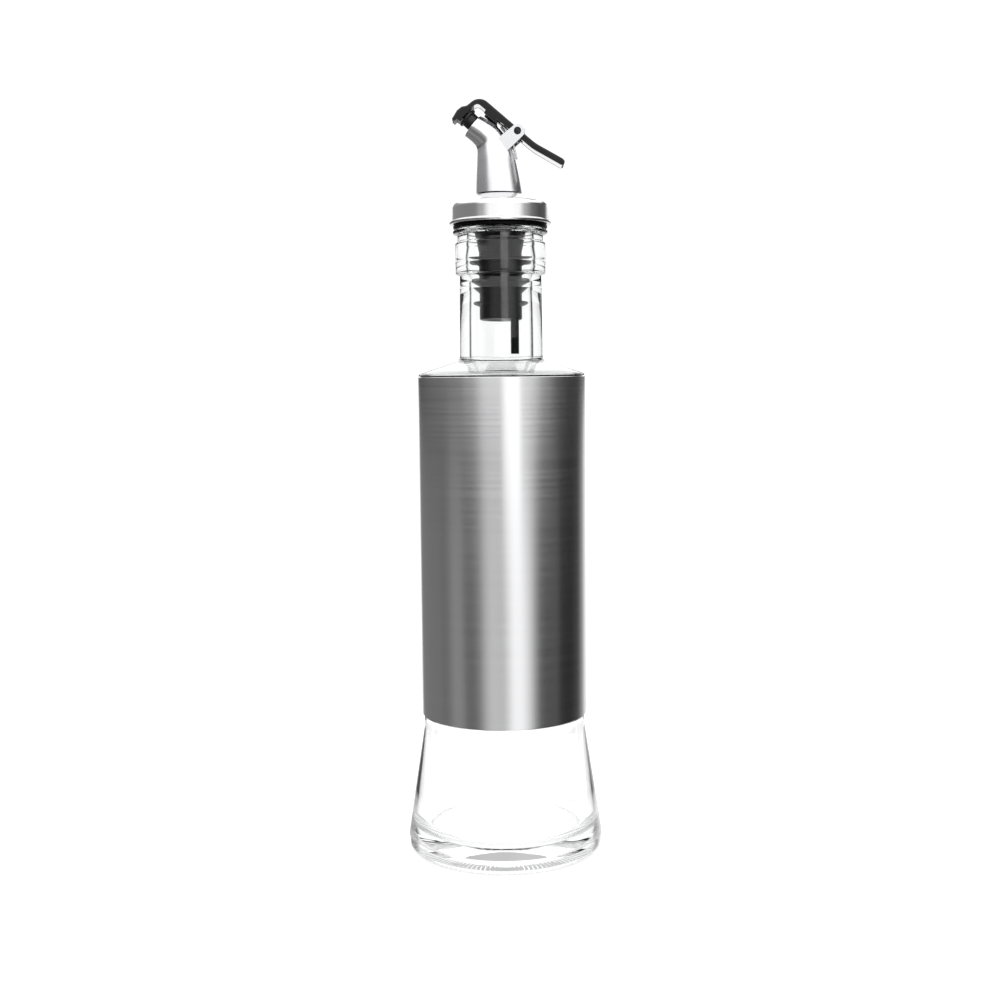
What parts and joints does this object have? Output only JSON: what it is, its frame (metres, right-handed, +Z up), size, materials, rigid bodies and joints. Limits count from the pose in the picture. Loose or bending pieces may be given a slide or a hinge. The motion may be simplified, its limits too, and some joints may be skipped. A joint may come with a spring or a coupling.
{
  "type": "oil bottle",
  "caption": "Clear glass oil bottle with a flared foot, a brushed steel sleeve, a finned rubber stopper and a curved pouring spout closed by a sprung lever.",
  "frame": {"origin": "centre of the bottle's foot, on the surface that it stands on", "axes": "+Z up along the bottle's axis; the spout's mouth points to -X and the lever's pin runs along Y"},
  "size_m": [0.0716, 0.0716, 0.2717],
  "materials": {
    "clear_glass": "clear, polished",
    "brushed_steel": "brushed round the bottle",
    "black_rubber": "smooth moulded rubber",
    "tube_plastic": "smooth black plastic",
    "core_plastic": "moulded black plastic",
    "satin_steel": "satin, spun",
    "satin_nickel": "satin plated casting",
    "bright_steel": "bright, pressed",
    "dark_steel": "dark, blackened",
    "spring_steel": "bright drawn wire",
    "black_plastic": "satin black",
    "lever_steel": "bright, pressed",
    "seal_rubber": "soft moulded rubber"
  },
  "bodies": {
    "bottle": {"glass_bottle": "clear_glass", "steel_sleeve": "brushed_steel"},
    "stopper": {"rubber_stopper": "black_rubber", "breather_tube": "tube_plastic"},
    "head": {"cap_core": "core_plastic", "steel_cap": "satin_steel", "spout_body": "satin_nickel", "hinge_bracket": "bright_steel", "pivot_pin": "dark_steel", "torsion_spring": "spring_steel"},
    "lever": {"lever_cover": "black_plastic", "lever_strip": "lever_steel", "nozzle_seal": "seal_rubber"}
  },
  "joints": [
    {"name": "stopper_slide", "type": "slide", "parent": "bottle", "child": "stopper", "axis": [0, 0, 1], "range_m": [0, 0.048]},
    {"name": "head_swivel", "type": "hinge", "parent": "stopper", "child": "head", "pos_m": [0, 0, 0.2278], "axis": [0, 0, 1], "continuous": true},
    {"name": "lever_hinge", "type": "hinge", "parent": "head", "child": "lever", "pos_m": [0.00645, 0, 0.26015], "axis": [0, 1, 0], "range_deg": [0, 28], "stiffness_Nm_per_rad": 0.06, "springref_deg": -34.38, "deforming": ["torsion_spring"]}
  ]
}
